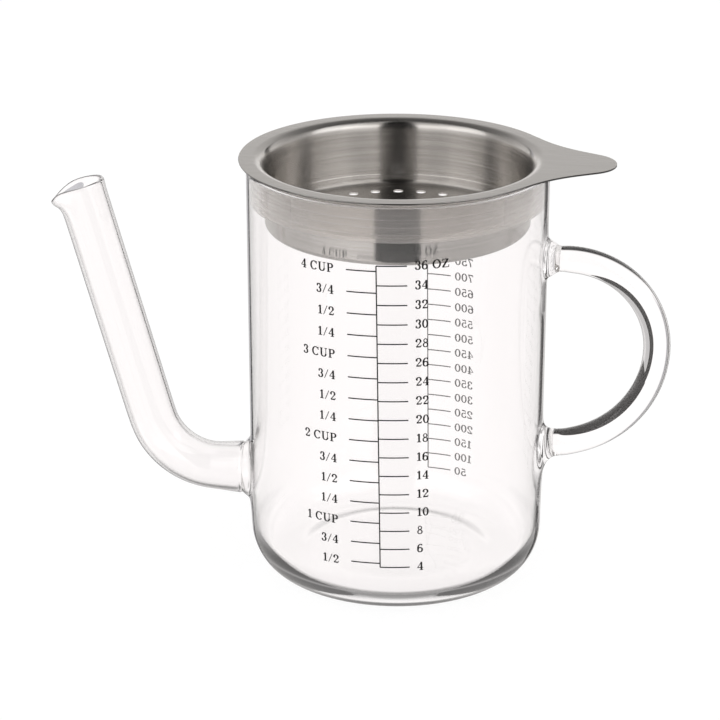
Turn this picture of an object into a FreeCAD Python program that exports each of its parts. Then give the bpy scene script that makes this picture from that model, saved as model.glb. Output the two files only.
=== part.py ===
import FreeCAD, Part
import math
import os
import Sketcher

Vector = FreeCAD.Vector
Rotation = FreeCAD.Rotation
Placement = FreeCAD.Placement

# Driving dimensions in millimetres and degrees, and the counts of what repeats.
SIZES = {
    # Glass body
    "jug_radius": 53.0,
    "jug_height": 150.1,
    "jug_wall": 1.2,
    "rim_round": 0.55,
    "corner_width": 6.15,
    "corner_height": 8.85,
    "corner_foot_round": 8.8,
    "corner_wall_round": 17.8,
    "floor_height": 3.4,
    "floor_dome": 1.2,
    "floor_dome_radius": 36.0,
    "floor_corner_width": 6.0,
    "floor_corner_height": 8.0,
    "floor_foot_round": 7.4,
    "floor_wall_round": 17.0,
    # Pouring spout, a bent tube
    "spout_height": 31.3,
    "spout_root_radius": 9.3,
    "spout_radius": 8.75,
    "spout_bore": 7.7,
    "spout_bend_start": 66.1,
    "spout_bend_radius": 25.0,
    "spout_lean": 15.2,
    "spout_reach": 90.9,
    "spout_flare_round": 7.0,
    "spout_flare_radius": 14.2,
    "spout_funnel_radius": 9.4,
    "spout_funnel_start": 59.5,
    "spout_inset": 6.0,
    "beak_length": 3.2,
    "beak_drop": 2.6,
    "beak_half_width": 5.0,
    "beak_height": 6.5,
    "beak_edge_half_width": 2.25,
    "beak_edge_height": 1.0,
    "beak_edge_slope": 0.7,
    "beak_inset": 0.5,
    # Handle, a bent rod
    "rod_radius": 4.8,
    "handle_top": 117.5,
    "handle_bottom": 45.9,
    "upper_bend_start": 60.6,
    "upper_bend_radius": 32.0,
    "lower_bend_radius": 38.0,
    "lower_bend_angle": 78.0,
    "collar_radius": 6.95,
    "collar_length": 3.4,
    "foot_flare_round": 6.0,
    "foot_flare_radius": 9.4,
    "foot_run": 13.0,
    "handle_inset": 3.0,
    # Strainer pressed from sheet
    "steel_thickness": 0.6,
    "flange_radius": 55.6,
    "flange_top": 152.6,
    "cup_inner_top": 47.1,
    "cup_inner_bottom": 46.0,
    "cup_floor": 128.3,
    "cup_mouth_round": 3.4,
    "cup_floor_round": 3.2,
    "tab_apex": 88.5,
    "tab_root": 49.5,
    "tab_inner": 52.5,
    "tab_half_angle": 29.5,
    "tab_nose_round": 12.2,
    "tab_root_round": 50.0,
    "hole_radius": 1.85,
    "outer_ring_radius": 37.5,
    "outer_ring_holes": 28,
    "middle_ring_radius": 25.0,
    "middle_ring_holes": 18,
    "inner_ring_radius": 12.5,
    "inner_ring_holes": 9,
    # Silicone seal ring
    "seal_bottom": 137.6,
    "seal_cup_gap": 0.2,
    "seal_bore_gap": 0.2,
    "seal_lip_gap": 0.15,
    "seal_lip_radius": 52.6,
    "seal_neck_drop": 3.4,
    "rib_count": 4,
    "rib_pitch": 2.6,
    "rib_height": 1.1,
    "rib_crest": 1.0,
    "rib_slope": 0.45,
    # Fired enamel scales
    "enamel_thickness": 0.15,
    "line_width": 0.4,
    "tick_depth": 12.0,
    "scale_zero": 5.8,
    "millilitre": 0.1225,
    "quarter_cup": 62.5,
    "ounce": 3.455,
    "front_tick": 10.4,
    "front_lean": 0.93,
    "lean_height": 72.5,
    "rear_line": 5.7,
    "rear_tick": 8.9,
    # How far a cutting shape runs past what it cuts
    "overrun": 1.0,
}

# What the ticks of the scales stand for.
QUARTER_CUPS = range(2, 17)
OUNCES = range(4, 37, 2)
MILLILITRES = range(50, 1001, 50)

# Two lengths closer than this are the same, when an edge is picked.
NEAR = 0.01

# Where the corners of a new sketch wait, before its constraints place them.
DRAFT_CENTRE = 30.0
DRAFT_REACH = 20.0

doc = FreeCAD.newDocument("GravySeparator")
sheet = doc.addObject("Spreadsheet::Sheet", "Sizes")
for row, (alias, value) in enumerate(SIZES.items(), start=1):
    sheet.set(f"A{row}", alias)
    sheet.set(f"B{row}", str(value))
    sheet.setAlias(f"B{row}", alias)
doc.recompute()


def size(alias):
    """A dimension read back from the sheet."""
    return float(sheet.get(alias))


def bind(thing, **expressions):
    """Ties properties of an object to the sheet."""
    for name, expression in expressions.items():
        thing.setExpression(name, expression)
    return thing


# Sketches and features of a body --------------------------------------------------


def new_body(name):
    body = doc.addObject("PartDesign::Body", name)
    body.Label = name
    return body


def new_sketch(body, plane, name):
    sketch = body.newObject("Sketcher::SketchObject", name)
    support = next(f for f in body.Origin.OriginFeatures if f.Role == plane)
    sketch.AttachmentSupport = [(support, "")]
    sketch.MapMode = "FlatFace"
    return sketch


def draw_polygon(sketch, corners):
    """A closed outline of straight lines. Each corner is a pair of expressions,
    where None keeps the corner on that axis of the sketch."""
    count = len(corners)
    turns = [2 * math.pi * i / count for i in range(count + 1)]
    middle = Vector(DRAFT_CENTRE, DRAFT_CENTRE, 0)
    ring = [middle + DRAFT_REACH * Vector(math.cos(a), math.sin(a), 0) for a in turns]
    for i in range(count):
        sketch.addGeometry(Part.LineSegment(ring[i], ring[i + 1]), False)
    for i in range(count):
        following = (i + 1) % count
        sketch.addConstraint(Sketcher.Constraint("Coincident", i, 2, following, 1))
    for i, (across, up) in enumerate(corners):
        hold_coordinate(sketch, i, "DistanceX", -2, across)
        hold_coordinate(sketch, i, "DistanceY", -1, up)


def hold_coordinate(sketch, line, kind, axis, expression):
    """Ties one coordinate of the start of a line to an expression or to an axis."""
    if expression is None:
        sketch.addConstraint(Sketcher.Constraint("PointOnObject", line, 1, axis))
        return
    distance = Sketcher.Constraint(kind, -1, 1, line, 1, DRAFT_CENTRE)
    index = sketch.addConstraint(distance)
    sketch.setExpression(f"Constraints[{index}]", expression)


def draw_circle(sketch, radius, across, up):
    """A circle whose centre and radius follow the sheet."""
    middle = Vector(DRAFT_CENTRE, DRAFT_CENTRE, 0)
    sketch.addGeometry(Part.Circle(middle, Vector(0, 0, 1), DRAFT_REACH), False)
    index = sketch.addConstraint(Sketcher.Constraint("Radius", 0, DRAFT_REACH))
    sketch.setExpression(f"Constraints[{index}]", radius)
    for kind, axis, expression in (("DistanceX", -2, across), ("DistanceY", -1, up)):
        if expression is None:
            sketch.addConstraint(Sketcher.Constraint("PointOnObject", 0, 3, axis))
            continue
        distance = Sketcher.Constraint(kind, -1, 1, 0, 3, DRAFT_CENTRE)
        index = sketch.addConstraint(distance)
        sketch.setExpression(f"Constraints[{index}]", expression)


def revolve(body, name, corners):
    """Turns a closed outline in the XZ plane about the Z axis."""
    sketch = new_sketch(body, "XZ_Plane", name + "_outline")
    draw_polygon(sketch, corners)
    doc.recompute()
    turned = body.newObject("PartDesign::Revolution", name)
    turned.Profile = sketch
    turned.ReferenceAxis = (sketch, ["V_Axis"])
    turned.Angle = 360
    doc.recompute()
    return turned


def round_edges(body, name, radius, chosen):
    """Fillets the edges of the body's tip that a test picks."""
    base = body.Tip
    names = [f"Edge{i}" for i, e in enumerate(base.Shape.Edges, start=1) if chosen(e)]
    fillet = body.newObject("PartDesign::Fillet", name)
    fillet.Base = (base, names)
    bind(fillet, Radius=radius)
    doc.recompute()
    return fillet


def ring_at(radius, height):
    """A test for the circular edge of that radius and height about the Z axis."""

    def test(edge):
        if not isinstance(edge.Curve, Part.Circle):
            return False
        centre = edge.Curve.Center
        misses = (
            math.hypot(centre.x, centre.y),
            edge.Curve.Radius - radius,
            centre.z - height,
        )
        return all(abs(miss) < NEAR for miss in misses)

    return test


# Primitives and booleans ----------------------------------------------------------


def primitive(kind, name, base, turn=None, **expressions):
    """A Part primitive with its sizes and place tied to the sheet."""
    thing = bind(doc.addObject("Part::" + kind, name), **expressions)
    thing.Placement = Placement(Vector(), turn or Rotation())
    for axis, expression in zip("xyz", base):
        thing.setExpression("Placement.Base." + axis, expression)
    return thing


def tilt(degrees):
    """Turns the Z axis of a primitive towards +X in the XZ plane."""
    return Rotation(Vector(0, 1, 0), degrees)


def arc_from(degrees):
    """Stands a torus up in the XZ plane, its sector counted from that angle."""
    return Rotation(Vector(1, 0, 0), 90).multiply(Rotation(Vector(0, 0, 1), degrees))


def fuse(name, parts):
    joined = doc.addObject("Part::MultiFuse", name)
    joined.Shapes = parts
    joined.Refine = True
    return joined


def cut(name, base, tool):
    result = doc.addObject("Part::Cut", name)
    result.Base = base
    result.Tool = tool
    result.Refine = True
    return result


def common(name, base, tool):
    result = doc.addObject("Part::Common", name)
    result.Base = base
    result.Tool = tool
    return result


def flare(name, side, height, tube, radius, fillet, inner):
    """The concave foot where a tube is melted on to the wall: a disc around the
    tube, hollowed by a ring. side is -1 at the spout and 1 at the handle."""
    wall = "Sizes.jug_radius"
    turn = tilt(90 * side)
    disc = primitive(
        "Cylinder", name + "_disc", (f"{side} * ({wall} - {inner})", "0", height), turn,
        Radius=radius, Height=f"{inner} + {fillet}",
    )
    ring = primitive(
        "Torus", name + "_hollow", (f"{side} * ({wall} + {fillet})", "0", height), turn,
        Radius1=f"{tube} + {fillet}", Radius2=fillet,
    )
    return cut(name, disc, ring)


# The pieces -----------------------------------------------------------------------


def make_jug_body():
    """Blown beaker with a flat foot, a domed floor and a fire-polished rim."""
    body = new_body("jug_body")
    bore = "Sizes.jug_radius - Sizes.jug_wall"
    revolve(body, "beaker", [
        (None, None),
        ("Sizes.jug_radius - Sizes.corner_width", None),
        ("Sizes.jug_radius", "Sizes.corner_height"),
        ("Sizes.jug_radius", "Sizes.jug_height"),
        (bore, "Sizes.jug_height"),
        (bore, "Sizes.floor_height + Sizes.floor_corner_height"),
        (f"{bore} - Sizes.floor_corner_width", "Sizes.floor_height"),
        ("Sizes.floor_dome_radius", "Sizes.floor_height"),
        (None, "Sizes.floor_height + Sizes.floor_dome"),
    ])
    outer = size("jug_radius")
    inner = outer - size("jug_wall")
    floor = size("floor_height")
    foot = ring_at(outer - size("corner_width"), 0)
    shoulder = ring_at(outer, size("corner_height"))
    floor_foot = ring_at(inner - size("floor_corner_width"), floor)
    floor_shoulder = ring_at(inner, floor + size("floor_corner_height"))
    rim_outside = ring_at(outer, size("jug_height"))
    rim_inside = ring_at(inner, size("jug_height"))
    round_edges(body, "foot_round", "Sizes.corner_foot_round", foot)
    round_edges(body, "shoulder_round", "Sizes.corner_wall_round", shoulder)
    round_edges(body, "floor_foot_round", "Sizes.floor_foot_round", floor_foot)
    round_edges(body, "floor_shoulder_round", "Sizes.floor_wall_round", floor_shoulder)
    round_edges(body, "rim_outside_round", "Sizes.rim_round", rim_outside)
    round_edges(body, "rim_inside_round", "Sizes.rim_round", rim_inside)
    solid_volume = body.Shape.Volume
    sketch = new_sketch(body, "YZ_Plane", "spout_hole_circle")
    draw_circle(sketch, "Sizes.spout_funnel_radius", None, "Sizes.spout_height")
    doc.recompute()
    hole = body.newObject("PartDesign::Pocket", "spout_hole")
    hole.Profile = sketch
    hole.Reversed = False
    bind(hole, Length="Sizes.jug_radius + Sizes.overrun")
    doc.recompute()
    inside_hole = Vector(size("jug_wall") / 2 - outer, 0, size("spout_height"))
    check_cut("spout_hole", body, solid_volume, inside_hole)
    return body


def check_cut(name, body, volume_before, inside_hole):
    """Stops if a pocket missed the solid or went the wrong way."""
    missed = body.Shape.Volume > volume_before - NEAR
    if missed or body.Shape.isInside(inside_hole, NEAR, True):
        raise RuntimeError(name + " doesn't cut where it should")


def make_spout_tube(jug_core):
    """Tube from low on the wall, bent up and leaning out, with a drooping beak."""
    lean = size("spout_lean")
    bend = 90 - lean
    bend_x = "-Sizes.spout_bend_start"
    bend_z = "Sizes.spout_height + Sizes.spout_bend_radius"
    shaft_x = f"{bend_x} - Sizes.spout_bend_radius * cos(Sizes.spout_lean)"
    shaft_z = f"{bend_z} - Sizes.spout_bend_radius * sin(Sizes.spout_lean)"
    bend_place = (bend_x, "0", bend_z)
    shaft_place = (shaft_x, "0", shaft_z)
    root_length = "Sizes.spout_bend_start - Sizes.jug_radius + Sizes.spout_inset"
    root_place = ("Sizes.spout_inset - Sizes.jug_radius", "0", "Sizes.spout_height")
    root = primitive(
        "Cone", "spout_root", root_place, tilt(-90),
        Radius1="Sizes.spout_root_radius", Radius2="Sizes.spout_radius", Height=root_length,
    )
    elbow = primitive(
        "Torus", "spout_elbow", bend_place, arc_from(-90 - bend),
        Radius1="Sizes.spout_bend_radius", Radius2="Sizes.spout_radius",
        Angle3="90 - Sizes.spout_lean",
    )
    shaft = primitive(
        "Cylinder", "spout_shaft", shaft_place, tilt(-lean),
        Radius="Sizes.spout_radius", Height="Sizes.spout_reach",
    )
    foot = flare(
        "spout_flare", -1, "Sizes.spout_height", "Sizes.spout_root_radius",
        "Sizes.spout_flare_radius", "Sizes.spout_flare_round", "Sizes.spout_inset",
    )
    beak = make_beak(lean)
    glass = fuse("spout_glass", [root, elbow, shaft, foot, beak])
    root_bore = primitive(
        "Cylinder", "spout_root_bore", root_place, tilt(-90),
        Radius="Sizes.spout_bore", Height=root_length,
    )
    elbow_bore = primitive(
        "Torus", "spout_elbow_bore", bend_place, arc_from(-90 - bend),
        Radius1="Sizes.spout_bend_radius", Radius2="Sizes.spout_bore",
        Angle3="90 - Sizes.spout_lean",
    )
    shaft_bore = primitive(
        "Cylinder", "spout_shaft_bore", shaft_place, tilt(-lean),
        Radius="Sizes.spout_bore", Height="Sizes.spout_reach + Sizes.overrun",
    )
    funnel = primitive(
        "Cone", "spout_funnel", ("-Sizes.jug_radius", "0", "Sizes.spout_height"), tilt(-90),
        Radius1="Sizes.spout_funnel_radius", Radius2="Sizes.spout_bore",
        Height="Sizes.spout_funnel_start - Sizes.jug_radius",
    )
    mouth = primitive(
        "Cylinder", "funnel_mouth", root_place, tilt(-90),
        Radius="Sizes.spout_funnel_radius", Height="Sizes.spout_inset",
    )
    bore = fuse("spout_bore_space", [root_bore, elbow_bore, shaft_bore, funnel, mouth])
    tube = cut("spout_with_core", glass, bore)
    spout = cut("spout_tube", tube, jug_core)
    spout.Label = "spout_tube"
    return spout


def make_beak(lean):
    """The pouring beak: a block on the outer side of the mouth that narrows to a
    drooping edge. It is built at the mouth's centre and leans with the shaft."""
    radius = size("spout_radius")
    inset = size("beak_inset")
    drop = size("beak_drop")
    width = size("beak_half_width")
    height = size("beak_height")
    back = size("spout_bore") - inset
    front = radius - inset
    root = [
        Vector(-back, -width, 0),
        Vector(-back, width, 0),
        Vector(-front, width, -height),
        Vector(-front, -width, -height),
    ]
    reach = radius + size("beak_length")
    under = reach - size("beak_edge_slope")
    narrow = size("beak_edge_half_width")
    low = drop + size("beak_edge_height")
    edge = [
        Vector(-reach, -narrow, -drop),
        Vector(-reach, narrow, -drop),
        Vector(-under, narrow, -low),
        Vector(-under, -narrow, -low),
    ]
    loops = [Part.makePolygon(points + points[:1]) for points in (root, edge)]
    beak = doc.addObject("Part::Feature", "spout_beak")
    beak.Shape = Part.makeLoft(loops, True, True)
    elbow = size("spout_bend_radius")
    reach_up = size("spout_reach")
    tilt_angle = math.radians(lean)
    centre_x = -size("spout_bend_start") - elbow * math.cos(tilt_angle)
    centre_z = size("spout_height") + elbow - elbow * math.sin(tilt_angle)
    centre_x -= reach_up * math.sin(tilt_angle)
    centre_z += reach_up * math.cos(tilt_angle)
    beak.Placement = Placement(Vector(centre_x, 0, centre_z), tilt(-lean))
    return beak


def make_handle(jug_core):
    """Solid rod in a large loop, melted on to the wall at both ends."""
    turn = size("lower_bend_angle")
    slope = 90 - turn
    start_x = "Sizes.upper_bend_start"
    bend_z = "(Sizes.handle_top - Sizes.upper_bend_radius)"
    lower_x = f"({start_x} + Sizes.upper_bend_radius - Sizes.lower_bend_radius)"
    end_x = f"{lower_x} + Sizes.lower_bend_radius * cos(Sizes.lower_bend_angle)"
    end_z = f"{bend_z} - Sizes.lower_bend_radius * sin(Sizes.lower_bend_angle)"
    top_place = ("Sizes.jug_radius - Sizes.handle_inset", "0", "Sizes.handle_top")
    top_run = primitive(
        "Cylinder", "handle_top_run", top_place, tilt(90),
        Radius="Sizes.rod_radius", Height=f"{start_x} - Sizes.jug_radius + Sizes.handle_inset",
    )
    upper_bend = primitive(
        "Torus", "handle_upper_bend", (start_x, "0", bend_z), arc_from(0),
        Radius1="Sizes.upper_bend_radius", Radius2="Sizes.rod_radius", Angle3="90",
    )
    lower_bend = primitive(
        "Torus", "handle_lower_bend", (lower_x, "0", bend_z), arc_from(-turn),
        Radius1="Sizes.lower_bend_radius", Radius2="Sizes.rod_radius",
        Angle3="Sizes.lower_bend_angle",
    )
    foot_run = primitive(
        "Cylinder", "handle_foot_run", (end_x, "0", end_z), tilt(-90 - slope),
        Radius="Sizes.rod_radius", Height="Sizes.foot_run",
    )
    # The cone carries on inside the wall line, so its cut edge follows the wall.
    steepness = "((Sizes.collar_radius - Sizes.rod_radius) / Sizes.collar_length)"
    collar_place = ("Sizes.jug_radius - Sizes.overrun", "0", "Sizes.handle_top")
    collar = primitive(
        "Cone", "handle_collar", collar_place, tilt(90),
        Radius1=f"Sizes.collar_radius + Sizes.overrun * {steepness}", Radius2="Sizes.rod_radius",
        Height="Sizes.collar_length + Sizes.overrun",
    )
    foot = flare(
        "handle_foot_flare", 1, "Sizes.handle_bottom", "Sizes.rod_radius",
        "Sizes.foot_flare_radius", "Sizes.foot_flare_round", "Sizes.handle_inset",
    )
    rod = fuse("handle_glass", [top_run, upper_bend, lower_bend, foot_run, collar, foot])
    handle = cut("handle", rod, jug_core)
    handle.Label = "handle"
    return handle


def make_strainer():
    """Flanged cup pressed from one sheet, with a tab and rings of drain holes."""
    body = new_body("strainer")
    steel = "Sizes.steel_thickness"
    top = "Sizes.flange_top"
    revolve(body, "cup", [
        (None, "Sizes.cup_floor"),
        ("Sizes.cup_inner_bottom", "Sizes.cup_floor"),
        ("Sizes.cup_inner_top", top),
        ("Sizes.flange_radius", top),
        ("Sizes.flange_radius", f"{top} - {steel}"),
        (f"Sizes.cup_inner_top + {steel}", f"{top} - {steel}"),
        (f"Sizes.cup_inner_bottom + {steel}", f"Sizes.cup_floor - {steel}"),
        (None, f"Sizes.cup_floor - {steel}"),
    ])
    thickness = size("steel_thickness")
    floor = size("cup_floor")
    flange = size("flange_top")
    low = size("cup_inner_bottom")
    high = size("cup_inner_top")
    under_floor = ring_at(low + thickness, floor - thickness)
    under_flange = ring_at(high + thickness, flange - thickness)
    flat = "Sizes.cup_floor_round"
    mouth = "Sizes.cup_mouth_round"
    round_edges(body, "floor_inside", flat, ring_at(low, floor))
    round_edges(body, "floor_outside", f"{flat} + {steel}", under_floor)
    round_edges(body, "mouth_inside", f"{mouth} + {steel}", ring_at(high, flange))
    round_edges(body, "mouth_outside", mouth, under_flange)
    make_tab(body)
    rings = (("outer", 0.5), ("middle", 0.5), ("inner", 0.0))
    for ring, phase in rings:
        drill_ring(body, ring, phase)
    return body


def make_tab(body):
    """Tongue of the flange over the handle, to lift the strainer by."""
    sketch = new_sketch(body, "XY_Plane", "tab_outline")
    bind(sketch, **{"AttachmentOffset.Base.z": "Sizes.flange_top - Sizes.steel_thickness"})
    half_root = "(Sizes.tab_apex - Sizes.tab_root) * tan(Sizes.tab_half_angle)"
    draw_polygon(sketch, [
        ("Sizes.tab_apex", None),
        ("Sizes.tab_root", half_root),
        ("Sizes.tab_inner", None),
        ("Sizes.tab_root", f"-{half_root}"),
    ])
    doc.recompute()
    tab = body.newObject("PartDesign::Pad", "tab")
    tab.Profile = sketch
    bind(tab, Length="Sizes.steel_thickness")
    doc.recompute()

    def upright_at(test):
        def chosen(edge):
            first, last = edge.Vertexes[0].Point, edge.Vertexes[-1].Point
            upright = math.hypot(first.x - last.x, first.y - last.y) < NEAR
            return upright and abs(first.z - last.z) > NEAR and test(first)

        return chosen

    def at_nose(point):
        return abs(point.x - size("tab_apex")) < NEAR

    def at_root(point):
        on_flange = abs(math.hypot(point.x, point.y) - size("flange_radius")) < NEAR
        return on_flange and point.x > 0 and abs(point.y) > NEAR

    round_edges(body, "tab_nose", "Sizes.tab_nose_round", upright_at(at_nose))
    round_edges(body, "tab_roots", "Sizes.tab_root_round", upright_at(at_root))


def drill_ring(body, ring, phase):
    """One ring of drain holes in the floor. phase is in steps from +X."""
    count = int(size(ring + "_ring_holes"))
    angle = f"{phase * 360 / count}"
    radius = f"Sizes.{ring}_ring_radius"
    sketch = new_sketch(body, "XY_Plane", ring + "_hole_circle")
    bind(sketch, **{"AttachmentOffset.Base.z": "Sizes.cup_floor + Sizes.overrun"})
    across = f"{radius} * cos({angle})"
    up = f"{radius} * sin({angle})" if phase else None
    draw_circle(sketch, "Sizes.hole_radius", across, up)
    doc.recompute()
    solid_volume = body.Shape.Volume
    hole = body.newObject("PartDesign::Pocket", ring + "_hole")
    hole.Profile = sketch
    bind(hole, Length="Sizes.steel_thickness + 2 * Sizes.overrun")
    doc.recompute()
    pattern = body.newObject("PartDesign::PolarPattern", ring + "_holes")
    pattern.Originals = [hole]
    pattern.Axis = (sketch, ["N_Axis"])
    pattern.Angle = 360
    bind(pattern, Occurrences=f"Sizes.{ring}_ring_holes")
    body.Tip = pattern
    doc.recompute()
    drilled = solid_volume - body.Shape.Volume
    expected = count * math.pi * size("hole_radius") ** 2 * size("steel_thickness")
    if abs(drilled / expected - 1) > NEAR:
        raise RuntimeError(ring + " ring isn't drilled right through")


def make_seal_ring():
    """Ring around the cup: ribs that seal in the bore and a lip on the rim. Its inner
    face follows the draft of the cup's wall."""
    body = new_body("seal_ring")
    crest = "Sizes.jug_radius - Sizes.jug_wall - Sizes.seal_bore_gap"
    valley = f"{crest} - Sizes.rib_height"
    lip_top = "Sizes.flange_top - Sizes.steel_thickness - Sizes.seal_lip_gap"
    lip_bottom = "Sizes.jug_height + Sizes.seal_lip_gap"
    neck = f"{lip_top} - Sizes.seal_neck_drop"
    clear_of_cup = "Sizes.steel_thickness + Sizes.seal_cup_gap"
    cup_depth = "(Sizes.flange_top - Sizes.cup_floor)"
    draft = f"(Sizes.cup_inner_top - Sizes.cup_inner_bottom) / {cup_depth}"
    cup_underside = "Sizes.cup_floor + Sizes.steel_thickness"
    cup_outside = f"Sizes.cup_inner_bottom + {clear_of_cup}"
    inner_foot = f"{cup_outside} + (Sizes.seal_bottom - {cup_underside}) * {draft}"
    inner_neck = f"{cup_outside} + ({neck} - {cup_underside}) * {draft}"
    inner_head = f"Sizes.cup_inner_top + {clear_of_cup} + Sizes.cup_mouth_round"
    corners = [(inner_foot, "Sizes.seal_bottom")]
    for rib in range(int(size("rib_count"))):
        foot = f"Sizes.seal_bottom + {rib} * Sizes.rib_pitch"
        corners.append((valley if rib else crest, foot))
        if rib:
            corners.append((crest, f"{foot} + Sizes.rib_slope"))
        corners.append((crest, f"{foot} + Sizes.rib_slope + Sizes.rib_crest"))
        corners.append((valley, f"{foot} + 2 * Sizes.rib_slope + Sizes.rib_crest"))
    corners.append((valley, lip_bottom))
    corners.append(("Sizes.seal_lip_radius", lip_bottom))
    corners.append(("Sizes.seal_lip_radius", lip_top))
    corners.append((inner_head, lip_top))
    corners.append((inner_neck, neck))
    revolve(body, "ribbed_ring", corners)
    return body


def bar(name, left, bottom, width, height):
    """One bar of a scale, in front of the wall and deeper than the curve of it."""
    return primitive(
        "Box", name, (left, "-Sizes.jug_radius - Sizes.overrun", bottom),
        Length=width, Width="Sizes.tick_depth", Height=height,
    )


def tick(name, left, length, height):
    return bar(name, left, f"{height} - Sizes.line_width / 2", length, "Sizes.line_width")


def make_front_scale(skin):
    """Quarter cups on the left of an upright line and fluid ounces on its right."""
    bars = [bar(
        "front_line", "-Sizes.line_width / 2", f"Sizes.scale_zero + {OUNCES[0]} * Sizes.ounce",
        "Sizes.line_width", f"{OUNCES[-1] - OUNCES[0]} * Sizes.ounce",
    )]
    length = "Sizes.front_tick"
    for quarters in QUARTER_CUPS:
        height = f"Sizes.scale_zero + {quarters} * Sizes.quarter_cup * Sizes.millilitre"
        bars.append(tick(f"quarter_cup_{quarters}", f"-{length}", length, height))
    for ounces in OUNCES:
        height = f"Sizes.scale_zero + {ounces} * Sizes.ounce"
        bars.append(tick(f"ounce_{ounces}", "0", length, height))
    comb = fuse("front_comb", bars)
    lean = -math.radians(size("front_lean"))
    pivot = size("lean_height")
    comb.Placement = Placement(
        Vector(-pivot * math.sin(lean), 0, pivot * (1 - math.cos(lean))),
        Rotation(Vector(0, 1, 0), math.degrees(lean)),
    )
    scale = common("front_scale", skin, comb)
    scale.Label = "front_scale"
    return scale


def make_rear_scale(skin):
    """Millilitres, every fifty, read from the far side."""
    lowest, highest = MILLILITRES[0], MILLILITRES[-1]
    bars = [bar(
        "rear_line", "-Sizes.rear_line - Sizes.line_width / 2",
        f"Sizes.scale_zero + {lowest} * Sizes.millilitre",
        "Sizes.line_width", f"{highest - lowest} * Sizes.millilitre",
    )]
    left = "-Sizes.rear_line - Sizes.rear_tick"
    for millilitres in MILLILITRES:
        height = f"Sizes.scale_zero + {millilitres} * Sizes.millilitre"
        bars.append(tick(f"millilitre_{millilitres}", left, "Sizes.rear_tick", height))
    comb = fuse("rear_comb", bars)
    comb.Placement = Placement(Vector(), Rotation(Vector(0, 0, 1), 180))
    scale = common("rear_scale", skin, comb)
    scale.Label = "rear_scale"
    return scale


def make_enamel_skin():
    """Thin sleeve on the outside of the wall, which the scales are cut from."""
    sleeve = primitive(
        "Cylinder", "enamel_outside", ("0", "0", "0"),
        Radius="Sizes.jug_radius + Sizes.enamel_thickness", Height="Sizes.jug_height",
    )
    wall = primitive(
        "Cylinder", "enamel_inside", ("0", "0", "-Sizes.overrun"),
        Radius="Sizes.jug_radius", Height="Sizes.jug_height + 2 * Sizes.overrun",
    )
    return cut("enamel_skin", sleeve, wall)


core = primitive(
    "Cylinder", "jug_core", ("0", "0", "0"),
    Radius="Sizes.jug_radius", Height="Sizes.jug_height",
)
enamel = make_enamel_skin()
pieces = [
    make_jug_body(),
    make_spout_tube(core),
    make_handle(core),
    make_strainer(),
    make_seal_ring(),
    make_front_scale(enamel),
    make_rear_scale(enamel),
]
doc.recompute()

for thing in doc.Objects:
    if any(flag in ("Invalid", "Error") for flag in thing.State):
        raise RuntimeError(f"{thing.Label} failed: {thing.State}")
for piece in pieces:
    if piece.Shape.isNull() or not piece.Shape.isValid():
        raise RuntimeError(f"{piece.Label} has no valid shape")

os.makedirs("parts", exist_ok=True)
for piece in pieces:
    piece.Shape.exportStep(f"parts/{piece.Label}.step")
    solids = len(piece.Shape.Solids)
    print(f"{piece.Label}: {solids} solid, {piece.Shape.Volume:.0f} mm3, {piece.Shape.BoundBox}")
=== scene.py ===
from math import acos, atan, atan2, copysign, cos, degrees, hypot, pi, radians, sin, sqrt, tan

import bmesh
import bpy
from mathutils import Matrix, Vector


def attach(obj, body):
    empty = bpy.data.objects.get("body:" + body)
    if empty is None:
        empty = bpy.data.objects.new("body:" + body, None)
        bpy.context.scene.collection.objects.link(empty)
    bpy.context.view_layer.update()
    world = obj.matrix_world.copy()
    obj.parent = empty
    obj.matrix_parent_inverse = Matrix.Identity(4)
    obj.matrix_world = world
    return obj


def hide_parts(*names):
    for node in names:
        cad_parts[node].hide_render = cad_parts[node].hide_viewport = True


MM = 0.001
TURN = 2 * pi

# -- Glass jug
JUG_RADIUS = 53.0 * MM
JUG_HEIGHT = 150.1 * MM
WALL = 1.2 * MM
BORE = JUG_RADIUS - WALL
FOOT_CORNER_WIDTH = 10.6 * MM
FOOT_CORNER_HEIGHT = 14.5 * MM
FLOOR_HEIGHT = 3.4 * MM
FLOOR_DOME = 1.2 * MM
FLOOR_CORNER_WIDTH = 9.7 * MM
FLOOR_CORNER_HEIGHT = 13.7 * MM
PUNT_HEIGHT = 0.9 * MM
PUNT_RADIUS = 34.0 * MM
JUG_SEGMENTS = 40
RING_SEGMENTS = 16
CORNER_STEPS = 7
RIM_STEPS = 6

# Spout, a bent tube melted on low in the wall
SPOUT_HEIGHT = 31.3 * MM
SPOUT_RADIUS = 8.75 * MM
SPOUT_BORE = 7.7 * MM
SPOUT_BEND_X = -66.1 * MM
SPOUT_BEND_RADIUS = 25.0 * MM
SPOUT_LEAN = radians(15.2)
SPOUT_REACH = 90.9 * MM
SPOUT_RIM = SPOUT_REACH + 0.7 * MM
BEAK_OUT = 3.6 * MM
BEAK_DOWN = 4.3 * MM
BEAK_REACH = 8.5 * MM
BEAK_LIP = SPOUT_RADIUS - 0.9 * MM
BEAK_GRIP = 1.4 * MM
SPOUT_ALONG = Vector((-sin(SPOUT_LEAN), 0, cos(SPOUT_LEAN)))
SPOUT_OUTWARD = Vector((-cos(SPOUT_LEAN), 0, -sin(SPOUT_LEAN)))
SHAFT_END = SPOUT_REACH - 12 * MM
SHAFT_STEPS = 8
BEND_STEPS = 8
# Rings of its joints, as (distance from the wall, radius, height above its axis) in mm
SPOUT_ROOT = (
    (0.4, 13.1, 1.0), (1.5, 11.6, 0.6), (2.8, 10.5, 0.3), (3.8, 9.6, 0.1), (4.3, 9.05, 0),
    (4.9, 9.6, 0), (5.8, 9.5, 0), (7.6, 9.3, 0),
)
SPOUT_FUNNEL = ((0.3, 11.6, 0.8), (1.6, 9.9, 0.4), (4.0, 8.6, 0), (7.4, 7.9, 0))
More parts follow.
